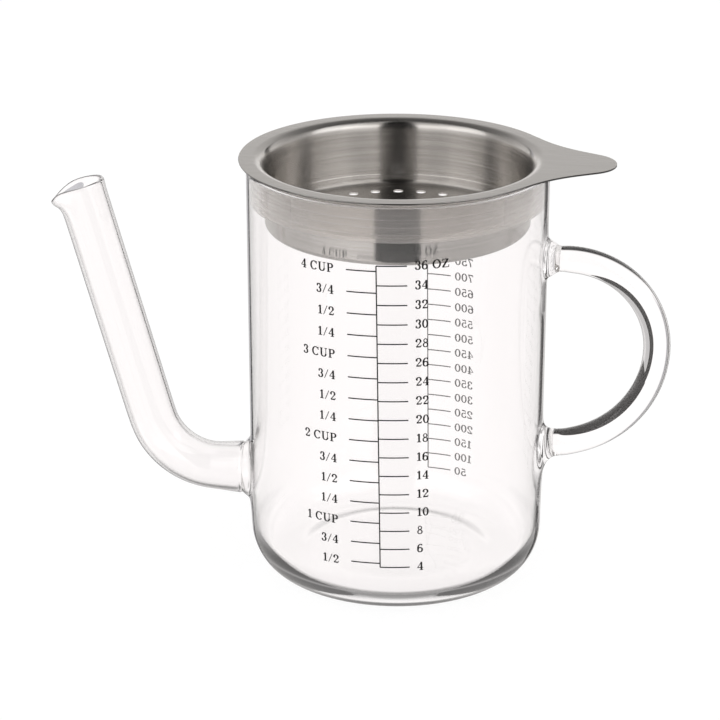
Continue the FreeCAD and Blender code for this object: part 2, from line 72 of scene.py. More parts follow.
# Rings of its mouth, by their distance from the rim, and what their radii add
MOUTH_RINGS = (8 * MM, 5 * MM, 2.6 * MM, 0.8 * MM, 0)
OUTER_FLARE = (0, 0, 0.1 * MM, 0.25 * MM, -0.2 * MM)
INNER_FLARE = (0, 0, 0, -0.05 * MM, 0.25 * MM)

# Handle, a bent rod melted on at both ends
ROD_RADIUS = 4.8 * MM
HANDLE_TOP = 117.5 * MM
HANDLE_BEND_X = 60.6 * MM
UPPER_BEND_RADIUS = 32.0 * MM
LOWER_BEND_RADIUS = 38.0 * MM
LOWER_BEND_ANGLE = radians(77)
HANDLE_END_X = 57.0 * MM
HANDLE_END_HEIGHT = 47.6 * MM
HANDLE_END_RADIUS = 4.9 * MM
# Rings of its joints like the spout's, the foot's with their height above the ground
HANDLE_COLLAR = ((0, 8.0, 0), (0.4, 6.9, 0), (1.6, 6.3, 0))
HANDLE_FOOT = ((0.3, 9.8, 44.8), (0.9, 7.8, 45.6), (2.0, 6.1, 46.6))
HANDLE_NECK = (
    (3.3 * MM, 5.1 * MM), (4.6 * MM, 4.35 * MM), (HANDLE_BEND_X - JUG_RADIUS, ROD_RADIUS),
)
UPPER_BEND_STEPS = 10
LOWER_BEND_STEPS = 9

# -- Camera
CAMERA_PLACE = Vector((93.45, -797.97, 389.07)) * MM
CAMERA_ORBIT_HEIGHT = 71.55 * MM
CAMERA_AIM_RIGHT = radians(-0.8784)
CAMERA_AIM_UP = radians(0.2957)
CAMERA_LENS = 119.9
CAMERA_SENSOR = 36.0

WELD = 0.001 * MM
UP = Vector((0, 0, 1))


def make_camera():
    towards = (Vector((0, 0, CAMERA_ORBIT_HEIGHT)) - CAMERA_PLACE).normalized()
    right = towards.cross(UP).normalized()
    upwards = right.cross(towards)
    aim = towards + tan(CAMERA_AIM_RIGHT) * right + tan(CAMERA_AIM_UP) * upwards
    bpy.ops.object.camera_add(location=CAMERA_PLACE)
    camera = bpy.context.object
    camera.rotation_euler = aim.to_track_quat("-Z", "Y").to_euler()
    camera.data.lens = CAMERA_LENS
    camera.data.sensor_width = CAMERA_SENSOR
    camera.data.clip_start = 0.01
    bpy.context.scene.camera = camera
    bpy.context.scene.view_settings.view_transform = "Standard"


# -- Modelling
def new_plane(name, size, place=(0, 0, 0)):
    bpy.ops.object.select_all(action="DESELECT")
    bpy.ops.mesh.primitive_plane_add(size=size, location=place)
    plane = bpy.context.object
    plane.name = name
    plane.data.name = name
    return plane


def activate(piece):
    bpy.ops.object.select_all(action="DESELECT")
    bpy.context.view_layer.objects.active = piece
    piece.select_set(True)


def drop_selection():
    """Deselects the mesh that is open in edit mode."""
    bpy.ops.mesh.select_all(action="DESELECT")


def change(piece, name, kind, **settings):
    """Applies a modifier to the active piece."""
    modifier = piece.modifiers.new(name, kind)
    for setting, value in settings.items():
        setattr(modifier, setting, value)
    bpy.ops.object.modifier_apply(modifier=modifier.name)


def start_point(name, across, up):
    """A new piece that is one vertex in the XZ plane, open in edit mode."""
    piece = new_plane(name, MM)
    bpy.ops.object.mode_set(mode="EDIT")
    bpy.ops.mesh.select_all(action="SELECT")
    bpy.ops.mesh.merge(type="CENTER")
    bpy.ops.transform.translate(value=(across, 0, up))
    return piece


def draw(outline):
    """Extrudes the selected vertex along an outline of (across, up) points."""
    for (x0, z0), (x1, z1) in zip(outline, outline[1:]):
        move = {"value": (x1 - x0, 0, z1 - z0)}
        bpy.ops.mesh.extrude_vertices_move(TRANSFORM_OT_translate=move)


def lathe(name, outline, segments, gain=1.0):
    """Spins an outline about the Z axis into a closed piece, left open in edit mode."""
    piece = start_point(name, *outline[0])
    draw(outline)
    bpy.ops.mesh.select_all(action="SELECT")
    bpy.ops.mesh.spin(steps=segments, angle=TURN, center=(0, 0, 0), axis=(0, 0, 1))
    bpy.ops.mesh.select_all(action="SELECT")
    bpy.ops.mesh.remove_doubles(threshold=WELD)
    bpy.ops.mesh.normals_make_consistent(inside=False)
    bpy.ops.transform.resize(value=(gain, gain, 1))
    drop_selection()
    return piece


def finish_mesh():
    """Closes edit mode with all normals outwards and the faces smooth."""
    bpy.ops.mesh.select_all(action="SELECT")
    bpy.ops.mesh.normals_make_consistent(inside=False)
    bpy.ops.object.mode_set(mode="OBJECT")
    bpy.ops.object.shade_smooth()


def polar(radius, angle):
    return (radius * cos(angle), radius * sin(angle))


def spaced(first, last, steps):
    """Evenly spaced values after first, up to last."""
    return [first + (last - first) * i / steps for i in range(1, steps + 1)]


def arc(centre, radii, first, last, steps):
    """Points of an elliptical arc, angles in degrees from across, without its start."""
    return [
        (centre[0] + radii[0] * cos(a), centre[1] + radii[1] * sin(a))
        for a in map(radians, spaced(first, last, steps))
    ]


def round_gain(segments):
    """How much larger a ring is drawn, so that smoothing leaves it at its size."""
    return 6 / (4 + 2 * cos(TURN / segments))


def select_faces(piece, test):
    mesh = bmesh.from_edit_mesh(piece.data)
    for face in mesh.faces:
        if test(face.calc_center_median()):
            face.select_set(True)
    bmesh.update_edit_mesh(piece.data)


def select_rim(piece, test):
    """Adds the open edges near a place to the selection."""
    mesh = bmesh.from_edit_mesh(piece.data)
    for edge in mesh.edges:
        middle = (edge.verts[0].co + edge.verts[1].co) / 2
        if edge.is_boundary and test(middle):
            edge.select_set(True)
    bmesh.update_edit_mesh(piece.data)


def lay_on_wall(piece, radius):
    """Moves the selected ring along X on to a cylinder about the jug's axis."""
    mesh = bmesh.from_edit_mesh(piece.data)
    for vertex in mesh.verts:
        if vertex.select:
            side = copysign(1, vertex.co.x)
            vertex.co.x = side * sqrt(radius**2 - vertex.co.y**2)
    bmesh.update_edit_mesh(piece.data)


# -- The jug
# Rows of the wall that the melted joints need, from the foot's corner upwards
ROW = (SPOUT_HEIGHT - FOOT_CORNER_HEIGHT) / 2
INNER_ROW = (SPOUT_HEIGHT - FLOOR_HEIGHT - FLOOR_CORNER_HEIGHT) / 2
UPPER_ROW = 8.3 * MM
JOINT_REACH = 2 * TURN / JUG_SEGMENTS
# Within how many of its radii an open ring is looked for, and how near a skin its edges lie
RING_REACH = 1.4
SKIN_BAND = 0.9 * MM
# The share of a ring's bend that the next one keeps
BEND_KEPT = 0.6


def jug_outline():
    """From the middle of the foot up the outside, over the rim and down the inside."""
    rim_radius = WALL / 2
    rim_height = JUG_HEIGHT - rim_radius
    foot_edge = JUG_RADIUS - FOOT_CORNER_WIDTH
    floor_edge = BORE - FLOOR_CORNER_WIDTH
    middle_radius = JUG_RADIUS - rim_radius
    rim_drawn = rim_radius * round_gain(2 * RIM_STEPS)
    outline = [(0, PUNT_HEIGHT)]
    outline += [(r, PUNT_HEIGHT) for r in spaced(0, PUNT_RADIUS - 4 * MM, 3)]
    outline += [(PUNT_RADIUS, PUNT_HEIGHT / 3), (PUNT_RADIUS + 3 * MM, 0), (foot_edge, 0)]
    corner = (foot_edge, FOOT_CORNER_HEIGHT)
    outline += arc(corner, (FOOT_CORNER_WIDTH, FOOT_CORNER_HEIGHT), -90, 0, CORNER_STEPS)
    rows = spaced(FOOT_CORNER_HEIGHT, SPOUT_HEIGHT, 2)
    rows += [SPOUT_HEIGHT + UPPER_ROW * i for i in (1, 2, 3)]
    rows += spaced(rows[-1], HANDLE_TOP - 2 * UPPER_ROW, 5)
    rows += [HANDLE_TOP + UPPER_ROW * i for i in (-1, 0, 1, 2)]
    rows += spaced(rows[-1], rim_height, 3)
    outline += [(JUG_RADIUS, z) for z in rows]
    outline += arc((middle_radius, rim_height), (rim_drawn, rim_drawn), 0, 180, RIM_STEPS)
    inner_rows = spaced(rim_height, SPOUT_HEIGHT + 2 * INNER_ROW, 13)
    inner_rows += spaced(inner_rows[-1], SPOUT_HEIGHT - 2 * INNER_ROW, 4)
    outline += [(BORE, z) for z in inner_rows]
    corner = (floor_edge, FLOOR_HEIGHT + FLOOR_CORNER_HEIGHT)
    outline += arc(corner, (FLOOR_CORNER_WIDTH, FLOOR_CORNER_HEIGHT), 0, -90, CORNER_STEPS)
    outline += [(floor_edge - r, FLOOR_HEIGHT) for r in (4 * MM, 8 * MM)]
    outline += [(r, FLOOR_HEIGHT + FLOOR_DOME) for r in (20 * MM, 10 * MM, 0)]
    return outline


def at_joint(place, side, low, high, wall_radius, band, margin=0):
    """Whether a place is on a skin of the wall where a joint opens it."""
    on_skin = abs(hypot(place.x, place.y) - wall_radius) < band
    across = abs(atan2(place.y, side * place.x)) < JOINT_REACH + margin / JUG_RADIUS
    return on_skin and across and low - margin < place.z < high + margin


def open_wall(piece, *opening):
    """Takes out the faces of one skin of the wall, four columns wide."""
    select_faces(piece, lambda place: at_joint(place, *opening, WALL / 2))
    bpy.ops.mesh.delete(type="FACE")


def join_ring(piece, side, low, high, radius, height, wall_radius):
    """Bridges an opening of the wall to a round ring that lies on a cylinder."""
    bpy.ops.mesh.primitive_circle_add(
        vertices=RING_SEGMENTS, radius=radius * round_gain(RING_SEGMENTS),
        location=(side * wall_radius, 0, height), rotation=(0, pi / 2, 0),
    )
    lay_on_wall(piece, wall_radius)
    opening = (side, low, high, wall_radius, SKIN_BAND, 1 * MM)
    select_rim(piece, lambda place: at_joint(place, *opening))
    bpy.ops.mesh.bridge_edge_loops()
    drop_selection()


def select_ring(piece, x, z, reach):
    """Selects the open ring around a place of the XZ plane."""
    centre = Vector((x, 0, z))
    select_rim(piece, lambda place: (place - centre).length < reach)


def joint_rings(rows, height=0):
    """A table's rings in metres."""
    return [(away * MM, radius * MM, height + up * MM) for away, radius, up in rows]


def start_joint(piece, side, low, high, ring, wall_radius):
    """Opens the wall and bridges it to a joint's first ring, left selected."""
    away, radius, height = ring
    open_wall(piece, side, low, high, wall_radius)
    join_ring(piece, side, low, high, radius, height, wall_radius + away)
    select_ring(piece, side * wall_radius, height, RING_REACH * radius)


def grow(move, scale):
    """Extrudes the selected ring by a move and scales the new one."""
    bpy.ops.mesh.extrude_edges_move(TRANSFORM_OT_translate={"value": move})
    bpy.ops.transform.resize(value=scale)


def melt_on(piece, rings):
    """Rings of a melted joint, each (distance from the wall, radius, height)."""
    for (_, before, low), (away, radius, high) in zip(rings, rings[1:]):
        share = radius / before
        grow((0, 0, high - low), (1, share, share))
        lay_on_wall(piece, JUG_RADIUS + away)


def turn_ring(steps, angle, x, z):
    """Spins the selected ring into a bend about a place of the XZ plane."""
    bpy.ops.mesh.spin(steps=steps, angle=angle, center=(x, 0, z), axis=(0, -1, 0))


def flatten_at(x):
    """Makes the selected ring flat at an x."""
    bpy.ops.transform.resize(value=(0, 1, 1), center_override=(x, 0, 0))


def tube_rings(radius, flare):
    """Rings of the tube after its bend, as (distance along it, radius)."""
    rings = [(along, radius) for along in spaced(0, SHAFT_END, SHAFT_STEPS)]
    return rings + [(SPOUT_RIM - down, radius + out) for down, out in zip(MOUTH_RINGS, flare)]


def spout_skin(piece, tube_radius, flare, root_rings, wall_radius, low, high):
    """One skin of the spout: from the wall through the bend up to the mouth."""
    start_joint(piece, -1, low, high, root_rings[0], wall_radius)
    for (away0, radius0, height0), (away1, radius1, height1) in zip(root_rings, root_rings[1:]):
        share = radius1 / radius0
        grow((away0 - away1, 0, height1 - height0), (BEND_KEPT, share, share))
    last = root_rings[-1]
    flatten_at(-wall_radius - last[0])
    share = tube_radius / last[1]
    grow((SPOUT_BEND_X + wall_radius + last[0], 0, SPOUT_HEIGHT - last[2]), (1, share, share))
    flatten_at(SPOUT_BEND_X)
    bend = pi / 2 - SPOUT_LEAN
    turn_ring(BEND_STEPS, bend, SPOUT_BEND_X, SPOUT_HEIGHT + SPOUT_BEND_RADIUS)
    before, grown = 0.0, tube_radius
    for along, radius in tube_rings(tube_radius, flare):
        share = radius / grown
        grow(SPOUT_ALONG * (along - before), (share, share, share))
        before, grown = along, radius
    drop_selection()


def make_spout(piece):
    """Outside and inside of the tube, closed at the mouth and bent into a beak there."""
    rings = joint_rings(SPOUT_ROOT, SPOUT_HEIGHT)
    low = SPOUT_HEIGHT - 2 * ROW
    high = SPOUT_HEIGHT + 2 * UPPER_ROW
    spout_skin(piece, SPOUT_RADIUS, OUTER_FLARE, rings, JUG_RADIUS, low, high)
    rings = joint_rings(SPOUT_FUNNEL, SPOUT_HEIGHT)
    low = SPOUT_HEIGHT - 2 * INNER_ROW
    high = SPOUT_HEIGHT + 2 * INNER_ROW
    spout_skin(piece, SPOUT_BORE, INNER_FLARE, rings, BORE, low, high)
    mouth_x = SPOUT_BEND_X - SPOUT_BEND_RADIUS * cos(SPOUT_LEAN)
    mouth_x -= SPOUT_RIM * sin(SPOUT_LEAN)
    mouth_z = SPOUT_HEIGHT + SPOUT_BEND_RADIUS * (1 - sin(SPOUT_LEAN))
    mouth_z += SPOUT_RIM * cos(SPOUT_LEAN)
    select_ring(piece, mouth_x, mouth_z, RING_REACH * SPOUT_RADIUS)
    bpy.ops.mesh.bridge_edge_loops()
    drop_selection()
    draw_beak(piece, Vector((mouth_x, 0, mouth_z)))


def draw_beak(piece, mouth):
    """Pulls the rim's outer side out and down into a pouring beak."""
    lip = mouth + SPOUT_OUTWARD * BEAK_LIP
    mesh = bmesh.from_edit_mesh(piece.data)
    for vertex in mesh.verts:
        vertex.select_set((vertex.co - lip).length < BEAK_GRIP)
    mesh.select_flush_mode()
    bmesh.update_edit_mesh(piece.data)
    bpy.ops.transform.translate(
        value=SPOUT_OUTWARD * BEAK_OUT - SPOUT_ALONG * BEAK_DOWN, use_proportional_edit=True,
        proportional_edit_falloff="SMOOTH", proportional_size=BEAK_REACH,
    )
    drop_selection()


def make_foot(piece):
    """The flared foot of the handle, up to the ring that the rod comes down to."""
    low = SPOUT_HEIGHT - ROW
    high = SPOUT_HEIGHT + 3 * UPPER_ROW
    foot = joint_rings(HANDLE_FOOT)
    start_joint(piece, 1, low, high, foot[0], JUG_RADIUS)
    melt_on(piece, foot)
    share = HANDLE_END_RADIUS / foot[-1][1]
    run = HANDLE_END_X - JUG_RADIUS - foot[-1][0]
    grow((run, 0, HANDLE_END_HEIGHT - foot[-1][2]), (1, share, share))
    flatten_at(HANDLE_END_X)
    drop_selection()


def make_handle(piece):
    """Rod from its collar at the top, round the loop, to its flared foot."""
    make_foot(piece)
    collar = joint_rings(HANDLE_COLLAR, HANDLE_TOP)
    low = HANDLE_TOP - 2 * UPPER_ROW
    high = HANDLE_TOP + 2 * UPPER_ROW
    start_joint(piece, 1, low, high, collar[0], JUG_RADIUS)
    melt_on(piece, collar)
    before, grown = collar[-1][:2]
    for away, radius in HANDLE_NECK:
        share = radius / grown
        grow((away - before, 0, 0), (1, share, share))
        flatten_at(JUG_RADIUS + away)
        before, grown = away, radius
    centre_z = HANDLE_TOP - UPPER_BEND_RADIUS
    lower_x = HANDLE_BEND_X + UPPER_BEND_RADIUS - LOWER_BEND_RADIUS
    turn_ring(UPPER_BEND_STEPS, pi / 2, HANDLE_BEND_X, centre_z)
    turn_ring(LOWER_BEND_STEPS, LOWER_BEND_ANGLE, lower_x, centre_z)
    drop_selection()
    end_x = lower_x + LOWER_BEND_RADIUS * cos(LOWER_BEND_ANGLE)
    end_z = centre_z - LOWER_BEND_RADIUS * sin(LOWER_BEND_ANGLE)
    select_ring(piece, end_x, end_z, RING_REACH * ROD_RADIUS)
    select_ring(piece, HANDLE_END_X, HANDLE_END_HEIGHT, RING_REACH * ROD_RADIUS)
    bpy.ops.mesh.bridge_edge_loops(number_cuts=1)
    drop_selection()


def make_jug():
    """Beaker, spout and handle are one piece of glass."""
    piece = lathe("glass_jug", jug_outline(), JUG_SEGMENTS, round_gain(JUG_SEGMENTS))
    make_spout(piece)
    make_handle(piece)
    finish_mesh()
    change(piece, "melted_smooth", "SUBSURF", levels=2, render_levels=2)
    return piece


# -- Strainer
STEEL = 0.6 * MM
FLANGE_RADIUS = 55.58 * MM
FLANGE_TOP = 152.59 * MM
CUP_FLOOR = 128.3 * MM
CUP_TOP_RADIUS = 47.1 * MM
CUP_BOTTOM_RADIUS = 46.0 * MM
CUP_DRAFT = (CUP_TOP_RADIUS - CUP_BOTTOM_RADIUS) / (FLANGE_TOP - CUP_FLOOR)
MOUTH_ROUND = 4.0 * MM
FLOOR_ROUND = 2.4 * MM
TAB_APEX = 88.5 * MM
TAB_HALF_ANGLE = radians(29.5)
TAB_NOSE_ROUND = 12.2 * MM
TAB_ROOT_ROUND = 50.0 * MM
TAB_INNER = 52.5 * MM
TAB_STEPS = 16
HOLE_RADIUS = 1.85 * MM
# Each ring's radius, its number of holes and its turn in holes
HOLE_RINGS = ((37.5 * MM, 28, 0.5), (25.0 * MM, 18, 0.5), (12.5 * MM, 9, 0.0))
HOLE_SIDES = 28
GROOVE_HEIGHT = CUP_FLOOR + 3.9 * MM
GROOVE_HALF = 0.25 * MM
GROOVE_DEPTH = 0.12 * MM
STRAINER_SEGMENTS = 192
STRAINER_CREASE = radians(35)

# Seal ring
SEAL_BOTTOM = 137.6 * MM
SEAL_CREST = 51.6 * MM
SEAL_VALLEY = 50.8 * MM
RIB_PITCH = 2.6 * MM
RIB_HALF = 0.95 * MM
RIBS = 4
SEAL_LIP_RADIUS = 52.6 * MM
SEAL_LIP_BOTTOM = 150.25 * MM
SEAL_LIP_TOP = 151.84 * MM
SEAL_NECK_DROP = 3.4 * MM
SEAL_LIP_ROUND = 0.3 * MM
SEAL_GAP = 0.2 * MM
SEAL_SEGMENTS = 128
SEAL_CREASE = radians(40)


def cup_wall(height):
    """Inner radius of the cup's drafted wall at a height."""
    return CUP_BOTTOM_RADIUS + CUP_DRAFT * (height - CUP_FLOOR)


def strainer_outline():
    """From the middle of the floor up the inside, over the flange and back down."""
    lean = degrees(atan(CUP_DRAFT))
    corner = (cup_wall(CUP_FLOOR + FLOOR_ROUND) - FLOOR_ROUND, CUP_FLOOR + FLOOR_ROUND)
    mouth = (cup_wall(FLANGE_TOP - MOUTH_ROUND) + MOUTH_ROUND, FLANGE_TOP - MOUTH_ROUND)
    half = STEEL / 2
    edge = (FLANGE_RADIUS - half, FLANGE_TOP - half)
    inside = (MOUTH_ROUND, MOUTH_ROUND)
    outside = (MOUTH_ROUND - STEEL, MOUTH_ROUND - STEEL)
    outline = [(0, CUP_FLOOR), (20 * MM, CUP_FLOOR), (corner[0], CUP_FLOOR)]
    outline += arc(corner, (FLOOR_ROUND, FLOOR_ROUND), -90, -lean, 8)
    for z, depth in ((-GROOVE_HALF, 0), (0, GROOVE_DEPTH), (GROOVE_HALF, 0)):
        outline += [(cup_wall(GROOVE_HEIGHT + z) + depth, GROOVE_HEIGHT + z)]
    wall_rows = spaced(GROOVE_HEIGHT + 1 * MM, mouth[1] - 1 * MM, 6)
    outline += [(cup_wall(z), z) for z in wall_rows]
    outline += [(mouth[0] + MOUTH_ROUND * cos(radians(180 - lean)), mouth[1])]
    outline += arc(mouth, inside, 180 - lean, 90, 8)
    outline += [(edge[0], FLANGE_TOP)]
    outline += arc(edge, (half, half), 90, -90, 6)
    outline += [(mouth[0], FLANGE_TOP - STEEL)]
    outline += arc(mouth, outside, 90, 180 - lean, 6)
    outline += arc(corner, (FLOOR_ROUND + STEEL, FLOOR_ROUND + STEEL), -lean, -90, 8)
    outline += [(20 * MM, CUP_FLOOR - STEEL), (0, CUP_FLOOR - STEEL)]
    return outline


def tab_outline():
    """Tongue seen from above, from one root on the flange round the nose to the other."""
    nose_x = TAB_APEX - TAB_NOSE_ROUND / sin(TAB_HALF_ANGLE)
    square = pi / 2 - TAB_HALF_ANGLE
    root_reach = FLANGE_RADIUS + TAB_ROOT_ROUND
    line_reach = TAB_APEX * sin(TAB_HALF_ANGLE) + TAB_ROOT_ROUND
    root_angle = square - acos(line_reach / root_reach)
    root = polar(root_reach, root_angle)
    rounds = (TAB_ROOT_ROUND, TAB_ROOT_ROUND)
    start = degrees(root_angle) + 180
    half = [polar(FLANGE_RADIUS, root_angle)]
    half += arc(root, rounds, start, degrees(square) + 180, TAB_STEPS)
    nose_start = polar(TAB_NOSE_ROUND, square)
    half += [(nose_x + nose_start[0], nose_start[1])]
    rounds = (TAB_NOSE_ROUND, TAB_NOSE_ROUND)
    half += arc((nose_x, 0), rounds, degrees(square), 0, TAB_STEPS)
    return [(TAB_INNER, 0)] + half + [(x, -y) for x, y in reversed(half[:-1])]


def cut_with(piece, tool, operation):
    """Applies a boolean with a tool that is then thrown away."""
    activate(piece)
    change(piece, "cut", "BOOLEAN", operation=operation, solver="EXACT", object=tool)
    bpy.data.objects.remove(tool)


def make_tab():
    """A plate of the tab's outline, as thick as the sheet."""
    outline = tab_outline()
    tab = start_point("tab_plate", 0, 0)
    bpy.ops.transform.translate(value=(outline[0][0], outline[0][1], FLANGE_TOP - STEEL))
    for (x0, y0), (x1, y1) in zip(outline, outline[1:]):
        bpy.ops.mesh.extrude_vertices_move(TRANSFORM_OT_translate={"value": (x1 - x0, y1 - y0, 0)})
    bpy.ops.mesh.select_all(action="SELECT")
    bpy.ops.mesh.edge_face_add()
    bpy.ops.mesh.extrude_region_move(TRANSFORM_OT_translate={"value": (0, 0, STEEL)})
    finish_mesh()
    return tab


def make_drills():
    """One upright cylinder for each drain hole, joined into a single tool."""
    drills = []
    for radius, count, phase in HOLE_RINGS:
        for hole in range(count):
            place = (*polar(radius, TURN * (hole + phase) / count), CUP_FLOOR)
            bpy.ops.mesh.primitive_cylinder_add(
                vertices=HOLE_SIDES, radius=HOLE_RADIUS, depth=6 * STEEL, location=place,
            )
            drills.append(bpy.context.object)
    activate(drills[0])
    for drill in drills:
        drill.select_set(True)
    bpy.ops.object.join()
    return bpy.context.object


def make_strainer():
    piece = lathe("strainer_pressing", strainer_outline(), STRAINER_SEGMENTS)
    finish_mesh()
    cut_with(piece, make_tab(), "UNION")
    cut_with(piece, make_drills(), "DIFFERENCE")
    change(piece, "no_slivers", "WELD", merge_threshold=WELD)
    bpy.ops.object.shade_smooth_by_angle(angle=STRAINER_CREASE)
    change(piece, "flat_faces_lead", "WEIGHTED_NORMAL", keep_sharp=True)
    return piece


def seal_outline():
    """Round ribs up the outside, the lip over the glass rim, and the drafted inside."""
    gap = STEEL + SEAL_GAP
    neck = SEAL_LIP_TOP - SEAL_NECK_DROP
    head = CUP_TOP_RADIUS + gap + MOUTH_ROUND - STEEL
    rise = CUP_DRAFT * STEEL
    outline = [(cup_wall(SEAL_BOTTOM) + gap + rise, SEAL_BOTTOM), (SEAL_VALLEY, SEAL_BOTTOM)]
    for rib in range(RIBS):
        middle = SEAL_BOTTOM + RIB_HALF + rib * RIB_PITCH
        outline += arc((SEAL_VALLEY, middle), (SEAL_CREST - SEAL_VALLEY, RIB_HALF), -90, 90, 8)
        outline += [(SEAL_VALLEY, middle + RIB_PITCH - RIB_HALF)]
    lip = (SEAL_LIP_RADIUS - SEAL_LIP_ROUND, (SEAL_LIP_BOTTOM + SEAL_LIP_TOP) / 2)
    outline += [(SEAL_VALLEY, SEAL_LIP_BOTTOM), (lip[0], SEAL_LIP_BOTTOM)]
    outline += arc(lip, (SEAL_LIP_ROUND, (SEAL_LIP_TOP - SEAL_LIP_BOTTOM) / 2), -90, 90, 8)
    outline += [(head, SEAL_LIP_TOP), (cup_wall(neck) + gap + rise, neck)]
    return outline + outline[:1]


def make_seal():
    piece = lathe("ribbed_seal", seal_outline(), SEAL_SEGMENTS)
    finish_mesh()
    bpy.ops.object.shade_smooth_by_angle(angle=SEAL_CREASE)
    return piece


# -- Scales
PRINT_RADIUS = JUG_RADIUS + 0.03 * MM
PRINT_THICKNESS = 0.08 * MM
LINE_WIDTH = 0.42 * MM
CAP_HEIGHT = 3.1 * MM
THICK = 0.20
THIN = 0.085
TRACKING = 0.08
FRONT_WIDEN = 1.17
REAR_WIDEN = 1.40


def bow(centre, radii, first, last, thick=THICK, steps=14):
    """A curved stroke, thick where it runs upright and thin where it lies flat."""
    (x, y), (wide, tall) = centre, radii
    return [
        (x + wide * cos(a), y + tall * sin(a), THIN + (thick - THIN) * abs(cos(a)))
        for a in map(radians, [first] + spaced(first, last, steps))
    ]


def bar(x0, y0, x1, y1, width=THIN, end_width=None):
    return [(x0, y0, width), (x1, y1, end_width or width)]


def half_turn(strokes, width):
    return [[(width - x, 1 - y, w) for x, y, w in stroke] for stroke in strokes]


SIX = [
    bow((0.35, 0.45), (0.27, 0.51), 62, 180),
    bow((0.29, 0.29), (0.21, 0.27), 0, 360),
    bar(0.40, 0.90, 0.50, 0.84, 0.14),
]

# Each letter is its width and its strokes, in cap heights from its lower left corner
LETTERS = {
    "0": (0.58, [bow((0.29, 0.5), (0.21, 0.47), 0, 360, steps=20)]),
    "1": (0.50, [
        bar(0.27, 0, 0.27, 1, THICK),
        bar(0.09, 0.80, 0.25, 0.96, 0.09),
        bar(0.08, 0.03, 0.46, 0.03),
    ]),
    "2": (0.58, [
        bow((0.28, 0.72), (0.20, 0.25), 190, -30),
        bar(0.45, 0.60, 0.09, 0.10, 0.12, THIN),
        bar(0.06, 0.08, 0.50, 0.08, 0.15),
        bar(0.50, 0.08, 0.53, 0.26),
        bar(0.06, 0.68, 0.18, 0.68, 0.13),
    ]),
    "3": (0.56, [
        bow((0.27, 0.75), (0.17, 0.22), 165, -88),
        bow((0.26, 0.27), (0.20, 0.25), 88, -165),
        bar(0.06, 0.76, 0.17, 0.76, 0.12),
        bar(0.03, 0.22, 0.14, 0.22, 0.12),
    ]),
    "4": (0.62, [
        bar(0.42, 1, 0.04, 0.30),
        bar(0.03, 0.30, 0.58, 0.30),
        bar(0.41, 0, 0.41, 1, THICK),
        bar(0.24, 0.03, 0.57, 0.03),
    ]),
    "5": (0.56, [
        bar(0.13, 0.93, 0.46, 0.93, 0.14),
        bar(0.13, 0.95, 0.11, 0.50),
        bow((0.25, 0.31), (0.21, 0.29), 130, -160),
        bar(0.03, 0.22, 0.14, 0.22, 0.12),
    ]),
    "6": (0.58, SIX),
    "7": (0.56, [
        bar(0.07, 0.92, 0.52, 0.92, 0.15),
        bar(0.07, 0.94, 0.05, 0.74),
        bar(0.51, 0.92, 0.31, 0.50, 0.10, 0.14) + [(0.24, 0, 0.18)],
    ]),
    "8": (0.58, [
        bow((0.29, 0.76), (0.16, 0.21), 0, 360, 0.12, 18),
        bow((0.29, 0.27), (0.20, 0.24), 0, 360, 0.15, 18),
    ]),
    "9": (0.58, half_turn(SIX, 0.58)),
    "/": (0.50, [bar(0.06, -0.02, 0.44, 1.02)]),
    " ": (0.28, []),
    "C": (0.80, [
        bow((0.42, 0.5), (0.32, 0.47), 42, 318, steps=20),
        bar(0.70, 0.66, 0.70, 0.98),
    ]),
    "U": (0.84, [
        bar(0.17, 0.32, 0.17, 1, THICK),
        bow((0.41, 0.32), (0.24, 0.29), 180, 360),
        bar(0.65, 0.32, 0.65, 1),
        bar(0.02, 0.97, 0.32, 0.97),
        bar(0.52, 0.97, 0.80, 0.97),
    ]),
    "P": (0.68, [
        bar(0.18, 0, 0.18, 1, THICK),
        bar(0.18, 0.96, 0.38, 0.96),
        bow((0.38, 0.73), (0.21, 0.235), 90, -90),
        bar(0.18, 0.49, 0.38, 0.49),
        bar(0.03, 0.03, 0.36, 0.03),
        bar(0.03, 0.97, 0.18, 0.97),
    ]),
    "O": (0.82, [bow((0.41, 0.5), (0.32, 0.47), 0, 360, steps=24)]),
    "Z": (0.70, [
        bar(0.08, 0.95, 0.62, 0.95),
        bar(0.58, 0.95, 0.10, 0.05, THICK),
        bar(0.06, 0.05, 0.66, 0.05),
        bar(0.08, 0.96, 0.07, 0.74),
        bar(0.66, 0.04, 0.67, 0.28),
    ]),
}


def text_width(text, widen):
    widths = [LETTERS[letter][0] for letter in text]
    return CAP_HEIGHT * (widen * sum(widths) + TRACKING * (len(text) - 1))


def write(text, left, middle, widen):
    """Strokes of a label in metres: left end along the arc, middle height."""
    strokes = []
    for letter in text:
        width, shapes = LETTERS[letter]
        for shape in shapes:
            strokes.append([
                (left + x * widen * CAP_HEIGHT, middle + (y - 0.5) * CAP_HEIGHT, w * CAP_HEIGHT)
                for x, y, w in shape
            ])
        left += CAP_HEIGHT * (widen * width + TRACKING)
    return strokes


def ribbon(stroke):
    """The two sides of a stroke, each point with its partner across."""
    pairs = []
    for i, (x, y, width) in enumerate(stroke):
        before = stroke[max(i - 1, 0)]
        after = stroke[min(i + 1, len(stroke) - 1)]
        along = Vector((after[0] - before[0], after[1] - before[1])).normalized()
        out = (along.y * width / 2, along.x * width / 2)
        pairs.append(((x - out[0], y + out[1]), (x + out[0], y - out[1])))
    return pairs


